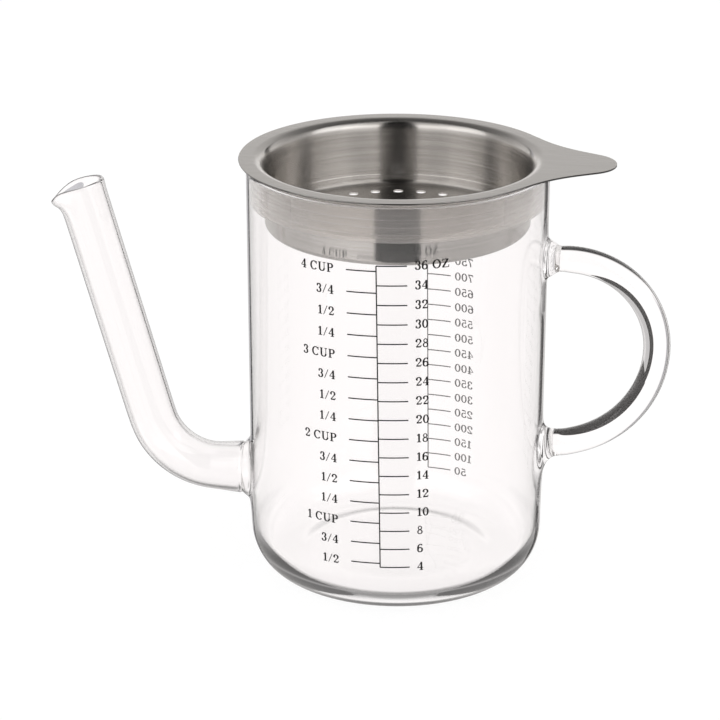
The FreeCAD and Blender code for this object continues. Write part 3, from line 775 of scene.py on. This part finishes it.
def lay_print(name, strokes, turn, lean, pivot):
    """Wraps flat strokes round the wall, turned by the print's small lean."""
    points, faces = [], []
    for stroke in strokes:
        first = len(points)
        for pair in ribbon(stroke):
            points += pair
        faces += [(i, i + 1, i + 3, i + 2) for i in range(first, len(points) - 2, 2)]
    places = []
    for across, up in points:
        u = across * cos(lean) - (up - pivot) * sin(lean)
        z = pivot + across * sin(lean) + (up - pivot) * cos(lean)
        angle = u / PRINT_RADIUS + turn
        places.append((PRINT_RADIUS * sin(angle), -PRINT_RADIUS * cos(angle), z))
    mesh = bpy.data.meshes.new(name)
    mesh.from_pydata(places, [], faces)
    piece = bpy.data.objects.new(name, mesh)
    bpy.context.scene.collection.objects.link(piece)
    activate(piece)
    change(piece, "fired_layer", "SOLIDIFY", thickness=PRINT_THICKNESS, offset=1.0)
    return piece


def long_bar(left, right, height):
    """A level line, in short lengths so that it follows the wall."""
    return [(x, height, LINE_WIDTH) for x in [left] + spaced(left, right, 6)]


SCALE_ZERO = 5.8 * MM
PIVOT = 72.5 * MM
# Heights of one unit of each scale
MILLILITRE = 0.1225 * MM
OUNCE = 3.455 * MM
QUARTER_CUP = 62.5
OUNCES = (4, 36)
QUARTER_CUPS = (2, 16)
MILLILITRES = (50, 1000)
CUP_PARTS = {1: "1/4", 2: "1/2", 3: "3/4"}
# Across the print, from its middle
FRONT_TICK = 10.3 * MM
FRONT_LEAN = radians(0.9)
CUPS_END = -14.9 * MM
OUNCES_START = 12.9 * MM
OUNCES_LIFT = 0.2 * MM
REAR_LINE = -5.75 * MM
REAR_TICK = 9.3 * MM
REAR_LEAN = radians(-0.8)
MILLILITRES_END = REAR_LINE - 11.0 * MM
MILLILITRES_LIFT = 0.1 * MM


def upright_line(x, unit, ends):
    """The line that a scale's ticks start from."""
    low, high = [SCALE_ZERO + end * unit for end in ends]
    return [(x, z, LINE_WIDTH) for z in [low] + spaced(low, high, 8)]


def front_strokes():
    """Cups at the left of the line and fluid ounces at its right."""
    strokes = [upright_line(0, OUNCE, OUNCES)]
    for quarters in range(QUARTER_CUPS[0], QUARTER_CUPS[1] + 1):
        height = SCALE_ZERO + quarters * QUARTER_CUP * MILLILITRE
        strokes.append(long_bar(-FRONT_TICK, 0, height))
        cups, part = divmod(quarters, 4)
        label = CUP_PARTS[part] if part else f"{cups} CUP"
        left = CUPS_END - text_width(label, FRONT_WIDEN)
        strokes += write(label, left, height, FRONT_WIDEN)
    for ounces in range(OUNCES[0], OUNCES[1] + 1, 2):
        height = SCALE_ZERO + ounces * OUNCE
        strokes.append(long_bar(0, FRONT_TICK, height))
        label = f"{ounces} OZ" if ounces == OUNCES[1] else str(ounces)
        strokes += write(label, OUNCES_START, height + OUNCES_LIFT, FRONT_WIDEN)
    return strokes


def rear_strokes():
    """Millilitres, all at one side of the line."""
    strokes = [upright_line(REAR_LINE, MILLILITRE, MILLILITRES)]
    for millilitres in range(MILLILITRES[0], MILLILITRES[1] + 1, 50):
        height = SCALE_ZERO + millilitres * MILLILITRE
        strokes.append(long_bar(REAR_LINE - REAR_TICK, REAR_LINE, height))
        label = str(millilitres)
        left = MILLILITRES_END - text_width(label, REAR_WIDEN)
        strokes += write(label, left, height + MILLILITRES_LIFT, REAR_WIDEN)
    return strokes


# -- Materials
LEVEL_ONLY = (1, 1, 0)

GLASS_TINT = (0.990, 0.982, 0.983)
# The share of the light that glass keeps, by how far it faces away
WALL_EDGE = [(0.74, 1.0), (0.87, 0.62), (0.93, 0.34), (1.0, 0.12)]
TUBE_EDGE = [(0.48, 1.0), (0.62, 0.70), (0.75, 0.42), (1.0, 0.12)]
FOOT_LEAK = [(0.1, 0.55), (0.5, 0.12)]
WALL_LEAK = [(0.18, 0.12), (0.45, 0.95)]
TUBE_START = JUG_RADIUS + 4.4 * MM
FOOT_LEAK_TOP = 22 * MM

STREAK_TURN = 0.0003
STREAK_STRETCH = (0.02, 1, 1)
BRUSHED_TOP = FLANGE_TOP - 1.6 * MM
POLISHED_TOP = FLANGE_TOP - 0.4 * MM
POLISH = 0.45
# Where painted shade turns the flange's upright cut edge near black
PAINTED_SHADE_EDGE_BOTTOM = FLANGE_TOP - STEEL - 0.05 * MM
PAINTED_SHADE_EDGE_RADIUS = FLANGE_RADIUS - 0.45 * MM


def clear_tree(owner):
    """The emptied node tree of a material or world."""
    owner.use_nodes = True
    owner.node_tree.nodes.clear()
    return owner.node_tree


def new_material(name):
    material = bpy.data.materials.new(name)
    return material, clear_tree(material)


def node(tree, kind, inputs=(), **settings):
    """A shader node. Its inputs, by name or index, are constants or sockets."""
    made = tree.nodes.new("ShaderNode" + kind)
    for name, value in settings.items():
        setattr(made, name, value)
    for entry, value in dict(inputs).items():
        if isinstance(value, bpy.types.NodeSocket):
            tree.links.new(value, made.inputs[entry])
        else:
            made.inputs[entry].default_value = value
    return made


def output(tree, kind, inputs=(), **settings):
    """The first output of a new node."""
    return node(tree, kind, inputs, **settings).outputs[0]


def finish_material(material, shader):
    node(material.node_tree, "OutputMaterial", {"Surface": shader})
    return material


def mix_shaders(tree, share, first, second):
    return output(tree, "MixShader", {0: share, 1: first, 2: second})


def split(tree, vector):
    """A vector's X, Y and Z."""
    return node(tree, "SeparateXYZ", {0: vector}).outputs


def maths(tree, operation, *entries):
    """A maths node of sockets or numbers."""
    return output(tree, "Math", enumerate(entries), operation=operation)


def product(tree, first, *others):
    """The product of two or more numbers."""
    for other in others:
        first = maths(tree, "MULTIPLY", first, other)
    return first


def at_most(tree, depth, count):
    """1 for rays whose depth is a count or less, else 0."""
    return maths(tree, "LESS_THAN", depth, count + 0.5)


def more_than(tree, depth, count):
    """1 for rays whose depth is over a count, else 0."""
    return maths(tree, "GREATER_THAN", depth, count + 0.5)


def vectors(tree, operation, *entries):
    """A vector node of sockets or constants."""
    made = node(tree, "VectorMath", enumerate(entries), operation=operation)
    return made.outputs["Value" if operation in ("LENGTH", "DOT_PRODUCT") else "Vector"]


def blend(tree, share, first, second, blend_type="MIX"):
    """The first colour, and by its share the second or their product."""
    entries = {0: share, 6: first, 7: second}
    return node(tree, "Mix", entries, data_type="RGBA", blend_type=blend_type).outputs[2]


def times(tree, first, second):
    """The product of two colours."""
    return blend(tree, 1.0, first, second, "MULTIPLY")


def blend_vectors(tree, share, first, second):
    return node(tree, "Mix", {0: share, 4: first, 5: second}, data_type="VECTOR").outputs[1]


def ramp(tree, source, stops, tint=(1, 1, 1)):
    """A colour ramp through stops of (position, grey level or colour), times a tint."""
    made = node(tree, "ValToRGB", {"Fac": source})
    elements = made.color_ramp.elements
    for index, (position, level) in enumerate(stops):
        element = elements[index] if index < 2 else elements.new(position)
        element.position = position
        colour = level if isinstance(level, tuple) else (level, level, level)
        element.color = (*[part * share for part, share in zip(tint, colour)], 1)
    return made.outputs["Color"]


def speckle(tree, scale):
    """Fine noise that is fixed to the piece."""
    place = node(tree, "TexCoord").outputs["Object"]
    return output(tree, "TexNoise", {"Vector": place, "Scale": scale})


def make_glass():
    """Clear glass whose edges draw a dark line, and which lets lamp light through.

    A ray that was turned back inside it more than twice goes straight out, a little dimmed.
    """
    material, tree = new_material("borosilicate_glass")
    facing = node(tree, "LayerWeight", {"Blend": 0.5}).outputs["Facing"]
    path = node(tree, "LightPath").outputs
    axes = split(tree, node(tree, "TexCoord").outputs["Object"])
    wall_edge = ramp(tree, facing, WALL_EDGE, GLASS_TINT)
    tube_edge = ramp(tree, facing, TUBE_EDGE, GLASS_TINT)
    on_tube = maths(tree, "GREATER_THAN", maths(tree, "ABSOLUTE", axes["X"]), TUBE_START)
    glass = output(tree, "BsdfPrincipled", {
        "Base Color": blend(tree, on_tube, wall_edge, tube_edge),
        "Transmission Weight": 1.0,
        "Roughness": 0.0,
        "IOR": 1.47,
    })
    clear = output(tree, "BsdfTransparent", {"Color": (0.93, 0.93, 0.93, 1)})
    lit = mix_shaders(tree, path["Is Shadow Ray"], glass, clear)
    foot_leak = ramp(tree, facing, FOOT_LEAK, GLASS_TINT)
    wall_leak = ramp(tree, facing, WALL_LEAK, GLASS_TINT)
    lifted = maths(tree, "GREATER_THAN", axes["Z"], FOOT_LEAK_TOP)
    leak = blend(tree, lifted, foot_leak, wall_leak)
    dimmed = output(tree, "BsdfTransparent", {"Color": leak})
    trapped = more_than(tree, path["Glossy Depth"], 2)
    return finish_material(material, mix_shaders(tree, trapped, lit, dimmed))


def steel_colour(tree, place, axes, radius, streaks):
    """Streaked grey, with painted shade: near black on the sheet's cut edge and darker on the
    cup's floor.
    """
    colour = ramp(tree, streaks, [(0.3, (0.53, 0.51, 0.49)), (0.7, (0.63, 0.61, 0.588))])
    normal = split(tree, place["Normal"])
    # Painted shade: the upright cut edge round the flange is painted near black, as the dark line
    # under its rim
    upright = maths(tree, "LESS_THAN", maths(tree, "ABSOLUTE", normal["Z"]), 0.5)
    high = maths(tree, "GREATER_THAN", axes["Z"], PAINTED_SHADE_EDGE_BOTTOM)
    outer = maths(tree, "GREATER_THAN", radius, PAINTED_SHADE_EDGE_RADIUS)
    colour = blend(tree, product(tree, upright, high, outer), colour, (0.09, 0.087, 0.085, 1))
    # Painted shade: the cup's floor is darker where the camera sees it straight, not in its mirror
    # images
    low = maths(tree, "LESS_THAN", axes["Z"], CUP_FLOOR + FLOOR_ROUND)
    upward = ramp(tree, normal["Z"], [(0.05, 0.0), (0.4, 1.0)])
    floor = product(tree, low, upward, node(tree, "LightPath").outputs["Is Camera Ray"])
    return blend(tree, floor, colour, (0.6, 0.59, 0.58, 1), "MULTIPLY")


def steel_roughness(tree, axes, radius, top, streaks):
    """The flange and the outside of the cup are smoother than its inside."""
    rough = output(tree, "MapRange", {"Value": streaks, "To Min": 0.20, "To Max": 0.29})
    inset = CUP_DRAFT * CUP_FLOOR - CUP_BOTTOM_RADIUS
    inwards = maths(tree, "MULTIPLY_ADD", axes["Z"], -CUP_DRAFT, inset)
    outside = maths(tree, "GREATER_THAN", maths(tree, "ADD", radius, inwards), STEEL / 2)
    lower = maths(tree, "LESS_THAN", axes["Z"], SEAL_LIP_TOP - SEAL_NECK_DROP)
    polished = maths(tree, "MAXIMUM", product(tree, outside, lower), top)
    return product(tree, rough, maths(tree, "MULTIPLY_ADD", polished, -POLISH, 1.0))


def make_steel():
    """Stainless steel, brushed round the axis in the cup and along X on the flange's top."""
    material, tree = new_material("brushed_stainless")
    place = node(tree, "TexCoord").outputs
    axes = split(tree, place["Object"])
    flat = vectors(tree, "MULTIPLY", place["Object"], LEVEL_ONLY)
    radius = vectors(tree, "LENGTH", flat)
    around = vectors(tree, "NORMALIZE", flat)
    turn = split(tree, around)
    heights = {"Value": axes["Z"], "From Min": BRUSHED_TOP, "From Max": POLISHED_TOP}
    top = output(tree, "MapRange", heights)
    turned = product(tree, turn["X"], STREAK_TURN)
    round_axis = output(tree, "CombineXYZ", {0: radius, 1: axes["Z"], 2: turned})
    lengthwise = vectors(tree, "MULTIPLY", place["Object"], STREAK_STRETCH)
    streaks = output(tree, "TexNoise", {
        "Vector": blend_vectors(tree, top, round_axis, lengthwise),
        "W": product(tree, turn["Y"], STREAK_TURN),
        "Scale": 2600.0,
        "Detail": 3.0,
    }, noise_dimensions="4D")
    relief = output(tree, "Bump", {"Strength": 0.06, "Distance": 0.00002, "Height": streaks})
    tangent = vectors(tree, "CROSS_PRODUCT", (0, 0, 1), around)
    steel = output(tree, "BsdfPrincipled", {
        "Base Color": steel_colour(tree, place, axes, radius, streaks),
        "Metallic": 1.0,
        "Roughness": steel_roughness(tree, axes, radius, top, streaks),
        "Normal": relief,
        "Anisotropic": 1.0,
        "Anisotropic Rotation": 0.25,
        "Tangent": blend_vectors(tree, top, tangent, (1, 0, 0)),
    })
    return finish_material(material, steel)


def make_silicone():
    """Cloudy silicone, clearest where it is seen straight on."""
    material, tree = new_material("translucent_silicone")
    stops = [(0.0, (0.955, 0.93, 0.905)), (1.0, (0.985, 0.965, 0.94))]
    cloudy = output(tree, "BsdfPrincipled", {
        "Base Color": ramp(tree, speckle(tree, 60.0), stops),
        "Roughness": 0.2,
        "IOR": 1.41,
        "Transmission Weight": 0.45,
    })
    clear = output(tree, "BsdfTransparent", {"Color": (0.97, 0.96, 0.95, 1)})
    facing = node(tree, "LayerWeight", {"Blend": 0.5}).outputs["Facing"]
    share = ramp(tree, facing, [(0.12, 0.86), (0.6, 0.45)])
    return finish_material(material, mix_shaders(tree, share, cloudy, clear))


def make_enamel(name, low, high):
    """Fired enamel between two grey levels."""
    material, tree = new_material(name)
    enamel = output(tree, "BsdfPrincipled", {
        "Base Color": ramp(tree, speckle(tree, 3000.0), [(0.0, low), (1.0, high)]),
        "Roughness": 0.6,
        "Specular IOR Level": 0.15,
    })
    return finish_material(material, enamel)


# -- Studio
BEHIND = Vector((-CAMERA_PLACE.x, -CAMERA_PLACE.y, 0)).normalized()
ASIDE = BEHIND.cross(UP)
CARD_DISTANCE = 520 * MM
CARD_HEIGHT = 800 * MM
CARD_GREY = (0.58, 0.575, 0.60)
CARD_BLACK = (0.03, 0.028, 0.027)
FLOOR_SIZE = 8.0
FLOOR_GLOW = 1.06
FLOOR_GLOW_SHARE = 0.85
LAMP_AIM = Vector((0, 0, 0.07))
LAMP_SIZE = 0.8
LAMP_POWER = 2.0


def seen_through(tree, path, height, sideways):
    """What glass lets through. Thick glass that is seen directly has dark sides."""
    below = ramp(tree, height, [(0.0, 0.25), (0.09, 0.4), (0.15, 1.0), (0.80, 1.0), (0.92, 0.6)])
    rod_below = ramp(tree, height, [(0.112, 0.05), (0.135, 1.0)])
    beside = ramp(tree, sideways, [
        (0.0, 0.25), (0.04, 0.12), (0.17, 0.12), (0.2, 1.0), (0.73, 1.0), (0.755, 0.5),
        (0.86, 0.5), (0.9, 0.75),
    ])
    unturned = at_most(tree, path["Glossy Depth"], 0)
    direct = product(tree, unturned, at_most(tree, path["Transmission Depth"], 2))
    passing = blend(tree, direct, below, times(tree, rod_below, beside), "MULTIPLY")
    return times(tree, passing, (1.065, 1.045, 1.04, 1))


def mirrored_low(tree, path, front, side, facing):
    """Mirrored from under the horizon; metal behind glass also sees a dark gap in front."""
    under = ramp(tree, facing, [(0.0, 0.30), (0.587, 0.31), (0.9, 0.36), (1.0, 0.36)])
    towards = maths(tree, "MAXIMUM", front, 0.0)
    tilt = maths(tree, "MULTIPLY_ADD", product(tree, towards, side), -0.36, 1.0)
    gap = ramp(tree, facing, [(0.967, 1.0), (0.975, 0.03)])
    through_glass = more_than(tree, path["Transmission Depth"], 2)
    return blend(tree, through_glass, times(tree, under, tilt), gap, "MULTIPLY")


def mirrored_once(tree, height, facing):
    """Mirrored from over the horizon by one turn: a dark gap in front, a dark zenith."""
    above = ramp(tree, facing, [
        (0.0, 0.54), (0.166, 0.54), (0.3, 0.40), (0.587, 0.50), (0.80, 0.60), (0.909, 1.0),
        (0.977, 1.0), (0.979, 0.01),
    ])
    zenith_far = ramp(tree, height, [
        (0.5, 1.0), (0.57, 1.0), (0.62, 0.5), (0.76, 0.48), (0.84, 0.2), (1.0, 0.06),
    ])
    # On the near side, where the cup's far wall looks
    zenith_near = ramp(tree, height, [
        (0.5, 0.42), (0.6, 0.48), (0.68, 0.8), (0.8, 0.95), (0.88, 0.4), (1.0, 0.06),
    ])
    nearer = ramp(tree, facing, [(0.4, 0.0), (0.6, 1.0)])
    return times(tree, above, blend(tree, nearer, zenith_far, zenith_near))


def mirrored_again(tree, height, front, facing):
    """Mirrored by more than one turn inside the cup, both ends of the middle are dark."""
    above = ramp(tree, facing, [
        (0.0, 0.90), (0.13, 0.75), (0.22, 0.32), (0.47, 0.47), (0.66, 0.61), (0.867, 0.79),
        (0.936, 1.0),
    ])
    zenith = ramp(tree, height, [(0.5, 1.0), (0.66, 0.95), (0.78, 0.45), (1.0, 0.25)])
    ends = ramp(tree, maths(tree, "ABSOLUTE", front), [(0.945, 1.0), (0.962, 0.035)])
    return times(tree, times(tree, above, zenith), ends)


def make_world():
    """White surroundings, apart from what glass lets through and what surfaces mirror."""
    world = bpy.data.worlds.new("studio")
    bpy.context.scene.world = world
    tree = clear_tree(world)
    place = node(tree, "TexCoord").outputs["Generated"]
    path = node(tree, "LightPath").outputs
    level = vectors(tree, "NORMALIZE", vectors(tree, "MULTIPLY", place, LEVEL_ONLY))
    front = vectors(tree, "DOT_PRODUCT", level, -BEHIND)
    side = vectors(tree, "DOT_PRODUCT", level, ASIDE)
    # From -1...1 to the 0...1 of the ramps
    height, facing, sideways = [
        maths(tree, "MULTIPLY_ADD", value, 0.5, 0.5)
        for value in (split(tree, place)["Z"], front, side)
    ]
    glass_view = seen_through(tree, path, height, sideways)
    low = mirrored_low(tree, path, front, side, facing)
    once = mirrored_once(tree, height, facing)
    again = mirrored_again(tree, height, front, facing)
    high = blend(tree, more_than(tree, path["Glossy Depth"], 1), once, again)
    horizon = ramp(tree, height, [(0.47, 0.0), (0.50, 1.0)])
    mirror_view = times(tree, blend(tree, horizon, low, high), (2.30, 2.26, 2.22, 1))
    # Rays turned back inside the glass see what it lets through
    inside_glass = maths(tree, "COMPARE", path["Transmission Depth"], 2.0, 1.1)
    outside_glass = maths(tree, "SUBTRACT", 1.0, inside_glass)
    mirrored = product(tree, more_than(tree, path["Glossy Depth"], 0), outside_glass)
    seen = blend(tree, mirrored, glass_view, mirror_view)
    seen = blend(tree, path["Is Camera Ray"], seen, (1, 1, 1, 1))
    seen = blend(tree, path["Is Diffuse Ray"], seen, (0.75, 0.75, 0.75, 1))
    node(tree, "OutputWorld", {"Surface": output(tree, "Background", {"Color": seen})})


def hang_card(name, place, size, angles, colour, surfaces, turned=True):
    """A glowing card which glass and metal see through a few surfaces of glass.

    Without turned only rays see it that no surface has turned back.
    """
    card = new_plane(name, 1.0, place)
    card.scale = (*size, 1)
    card.rotation_euler = angles
    material, tree = new_material(name + "_paint")
    path = node(tree, "LightPath").outputs
    seen = at_most(tree, path["Transmission Depth"], surfaces)
    if not turned:
        seen = product(tree, at_most(tree, path["Glossy Depth"], 0), seen)
    glow = output(tree, "Emission", {"Color": (*colour, 1)})
    clear = output(tree, "BsdfTransparent")
    card.data.materials.append(finish_material(material, mix_shaders(tree, seen, clear, glow)))
    card.visible_camera = False
    card.visible_diffuse = False
    card.visible_shadow = False


def make_card(name, near_side, far_side, colour):
    """An upright card behind the jug."""
    place = BEHIND * CARD_DISTANCE + ASIDE * (near_side + far_side) / 2
    size = (abs(far_side - near_side), CARD_HEIGHT)
    angles = (pi / 2, 0, atan2(ASIDE.y, ASIDE.x))
    hang_card(name, place, size, angles, colour, 3)


def make_floor():
    """Pale paper that keeps the shadow and that glass and metal don't see."""
    floor = new_plane("floor", FLOOR_SIZE)
    material, tree = new_material("pale_floor")
    path = node(tree, "LightPath").outputs
    matt = output(tree, "BsdfDiffuse", {"Color": (0.9, 0.9, 0.9, 1)})
    white = output(tree, "Emission", {"Color": (1, 1, 1, 1), "Strength": FLOOR_GLOW})
    glowing = product(tree, path["Is Camera Ray"], FLOOR_GLOW_SHARE)
    paper = mix_shaders(tree, glowing, matt, white)
    clear = output(tree, "BsdfTransparent")
    unseen = maths(tree, "MAXIMUM", path["Is Transmission Ray"], path["Is Glossy Ray"])
    material = finish_material(material, mix_shaders(tree, unseen, paper, clear))
    floor.data.materials.append(material)


def make_lamp(name, place):
    bpy.ops.object.light_add(type="AREA", location=place)
    lamp = bpy.context.object
    lamp.name = name
    lamp.data.size = LAMP_SIZE
    lamp.data.energy = LAMP_POWER
    lamp.rotation_euler = (LAMP_AIM - Vector(place)).to_track_quat("-Z", "Y").to_euler()


def paint(piece, material):
    piece.data.materials.clear()
    piece.data.materials.append(material)


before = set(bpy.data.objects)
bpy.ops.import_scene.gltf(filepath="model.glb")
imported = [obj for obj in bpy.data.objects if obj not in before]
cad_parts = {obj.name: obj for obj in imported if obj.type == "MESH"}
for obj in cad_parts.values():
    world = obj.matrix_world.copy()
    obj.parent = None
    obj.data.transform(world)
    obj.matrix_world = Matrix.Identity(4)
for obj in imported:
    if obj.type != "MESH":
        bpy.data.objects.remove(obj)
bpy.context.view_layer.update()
make_camera()
make_world()
make_floor()
make_card("grey_card", -181 * MM, -247 * MM, CARD_GREY)
make_card("left_flag", -247 * MM, -295 * MM, CARD_BLACK)
make_card("right_flag", 245 * MM, 386 * MM, CARD_BLACK)
# Under the floor behind the handle, for the bare rod alone
hang_card(
    "handle_shade", (122 * MM, 46 * MM, -1 * MM), (120 * MM, 200 * MM),
    (0, 0, radians(-26.6)), CARD_BLACK, 2, turned=False,
)
make_lamp("left_softbox", (-0.9, -0.5, 0.9))
make_lamp("right_softbox", (0.9, -0.3, 0.9))

glass = make_glass()
steel = make_steel()
silicone = make_silicone()
enamel = make_enamel("fired_enamel", 0.006, 0.02)
# A paler copy of the enamel for the back of a print, seen through the glass: the glass's
# reflection over it is painted into its colour
enamel_with_painted_reflection = make_enamel("fired_enamel_painted_reflection", 0.14, 0.20)

jug = make_jug()
paint(jug, glass)
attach(jug, "jug")
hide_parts("jug_body", "spout_tube", "handle")

strainer = make_strainer()
paint(strainer, steel)
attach(strainer, "strainer")
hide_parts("strainer")

seal = make_seal()
paint(seal, silicone)
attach(seal, "seal")
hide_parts("seal_ring")

front = lay_print("front_print", front_strokes(), 0, FRONT_LEAN, PIVOT)
paint(front, enamel)
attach(front, "jug")
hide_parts("front_scale")

rear = lay_print("rear_print", rear_strokes(), pi, REAR_LEAN, PIVOT)
paint(rear, enamel_with_painted_reflection)
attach(rear, "jug")
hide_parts("rear_scale")
